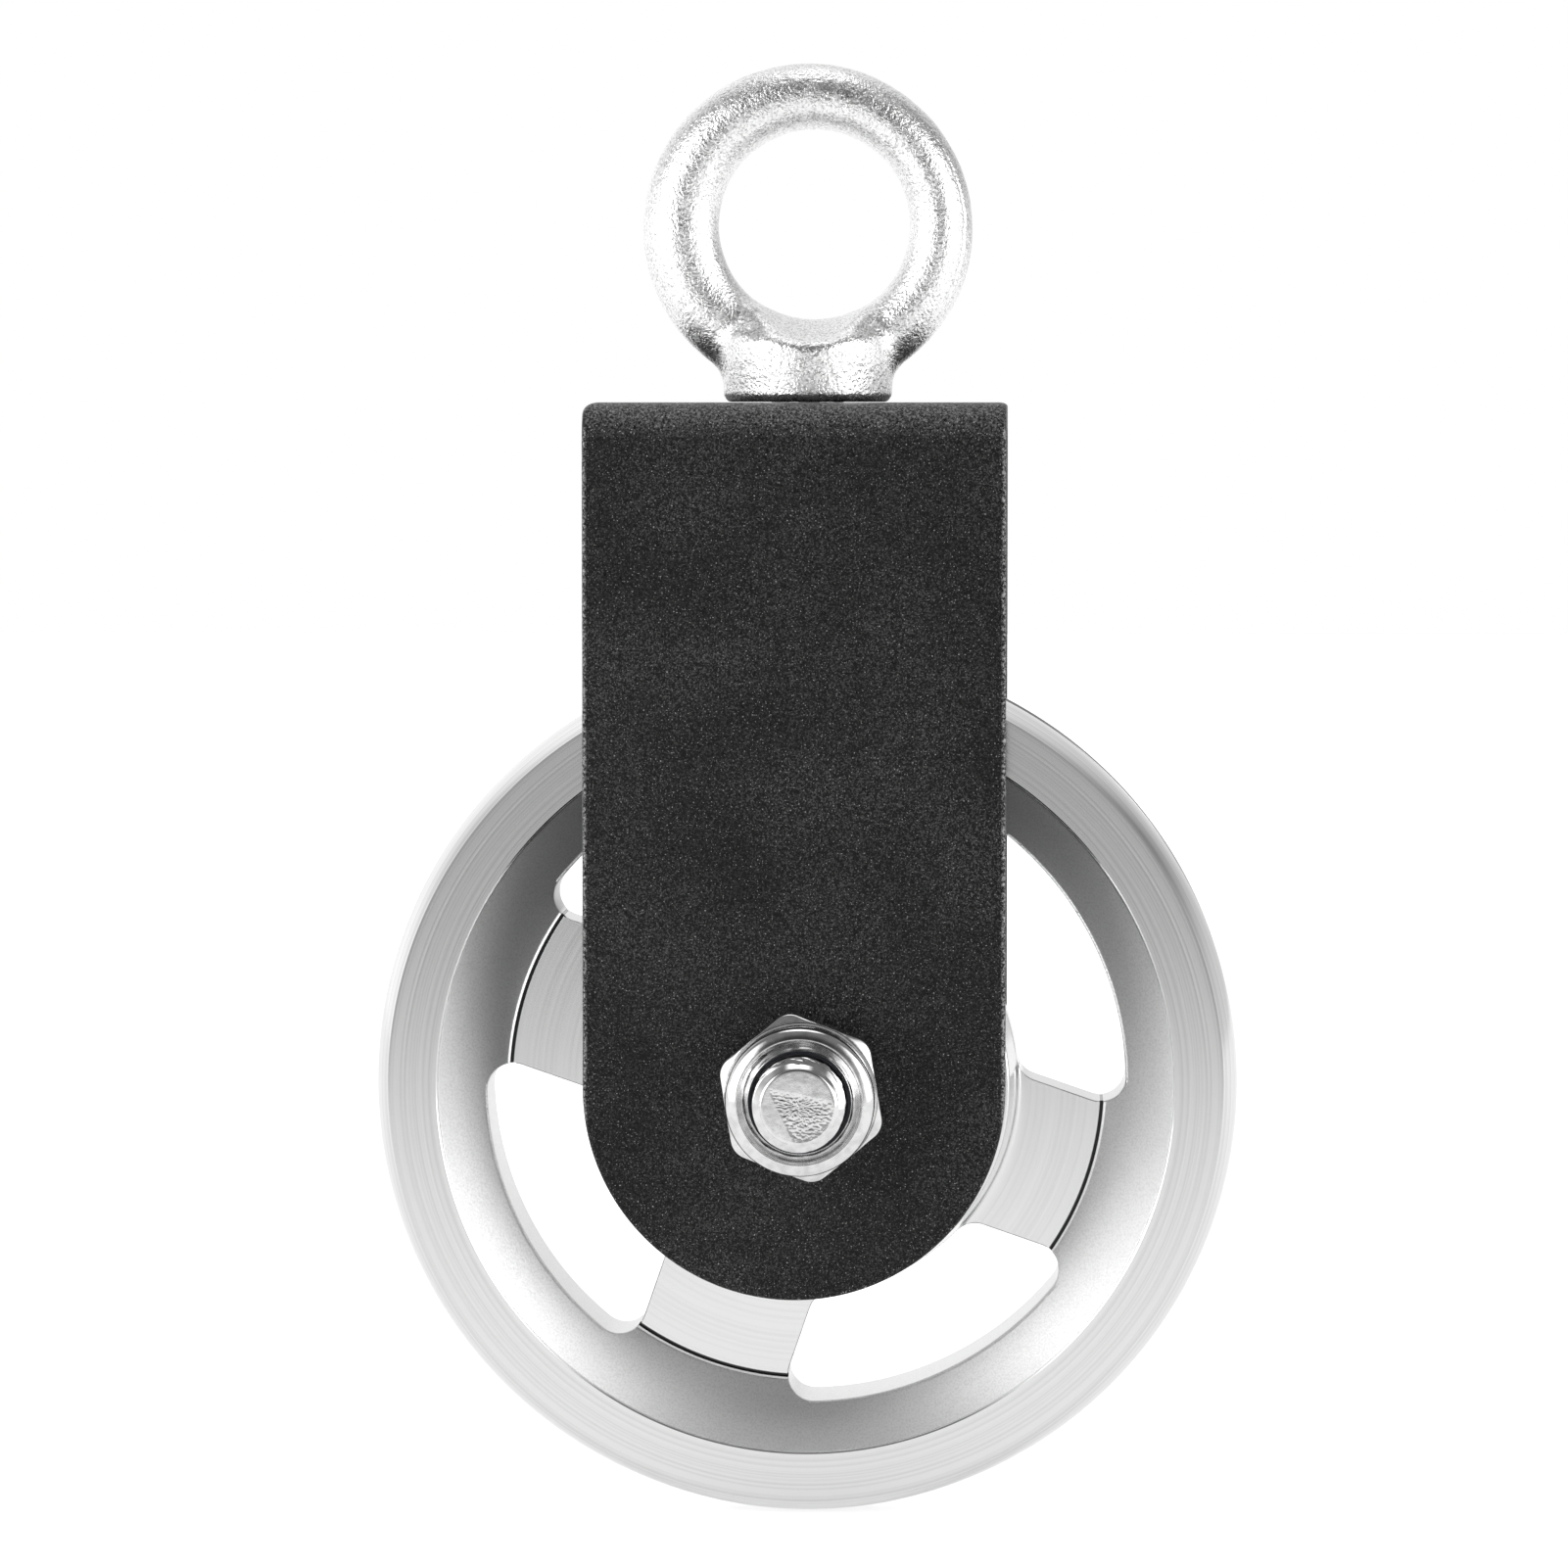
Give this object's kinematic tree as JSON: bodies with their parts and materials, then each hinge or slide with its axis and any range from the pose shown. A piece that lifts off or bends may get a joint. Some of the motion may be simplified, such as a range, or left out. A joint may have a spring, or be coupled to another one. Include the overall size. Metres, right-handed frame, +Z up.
{
  "type": "single sheave pulley block",
  "caption": "Swivelling pulley block: a grooved, spoked aluminium sheave on ball bearings in a bent black steel strap that hangs from a forged eye nut.",
  "frame": {"origin": "centre of the eye's hole, the point that the block hangs from", "axes": "+Z up along the swivel axis, from the sheave to the eye; +Y along the axle, from the lock nut to the bolt head; +X to the right as the lock nut is seen"},
  "size_m": [0.095, 0.0555, 0.1597],
  "materials": {
    "forged_zinc": "bright zinc plate over a forged, lightly pebbled skin",
    "black_coat": "fine-textured black powder coat",
    "turned_aluminium": "bright machined, fine concentric turning marks",
    "zinc_fastener": "bright zinc plate",
    "bearing_steel": "ground and polished",
    "shield_steel": "pressed bright steel",
    "cage_nylon": "moulded",
    "insert_nylon": "moulded",
    "bush_bronze": "sintered, dull",
    "spacer_steel": "turned"
  },
  "bodies": {
    "eye": {"eye_nut": "forged_zinc", "swivel_bolt": "zinc_fastener", "thrust_lower_race": "bearing_steel"},
    "thrust_ball_set": {"thrust_balls": "bearing_steel", "thrust_cage": "bush_bronze"},
    "frame": {"bracket": "black_coat", "swivel_bush": "bush_bronze", "thrust_upper_race": "bearing_steel", "axle_bolt": "zinc_fastener", "axle_nut": "zinc_fastener", "nut_insert": "insert_nylon", "front_spacer": "spacer_steel", "rear_spacer": "spacer_steel", "centre_sleeve": "spacer_steel", "front_inner_ring": "bearing_steel", "rear_inner_ring": "bearing_steel"},
    "wheel": {"sheave": "turned_aluminium", "front_outer_ring": "bearing_steel", "rear_outer_ring": "bearing_steel", "front_outer_shield": "shield_steel", "front_inner_shield": "shield_steel", "rear_outer_shield": "shield_steel", "rear_inner_shield": "shield_steel"},
    "front_ball_set": {"front_balls": "bearing_steel", "front_cage": "cage_nylon"},
    "rear_ball_set": {"rear_balls": "bearing_steel", "rear_cage": "cage_nylon"}
  },
  "joints": [
    {"name": "swivel", "type": "hinge", "parent": "eye", "child": "frame", "pos_m": [0, 0, -0.0258], "axis": [0, 0, 1], "continuous": true},
    {"name": "thrust_cage_spin", "type": "hinge", "parent": "eye", "child": "thrust_ball_set", "pos_m": [0, 0, -0.0258], "axis": [0, 0, 1], "continuous": true},
    {"name": "sheave_spin", "type": "hinge", "parent": "frame", "child": "wheel", "pos_m": [0, 0, -0.094], "axis": [0, 1, 0], "continuous": true},
    {"name": "front_cage_spin", "type": "hinge", "parent": "frame", "child": "front_ball_set", "pos_m": [0, -0.0055, -0.094], "axis": [0, 1, 0], "continuous": true},
    {"name": "rear_cage_spin", "type": "hinge", "parent": "frame", "child": "rear_ball_set", "pos_m": [0, 0.0055, -0.094], "axis": [0, 1, 0], "continuous": true}
  ],
  "couplings": [
    {"joint": "thrust_cage_spin", "follows": "swivel", "ratio": 0.5},
    {"joint": "front_cage_spin", "follows": "sheave_spin", "ratio": 0.619},
    {"joint": "rear_cage_spin", "follows": "sheave_spin", "ratio": 0.619}
  ]
}
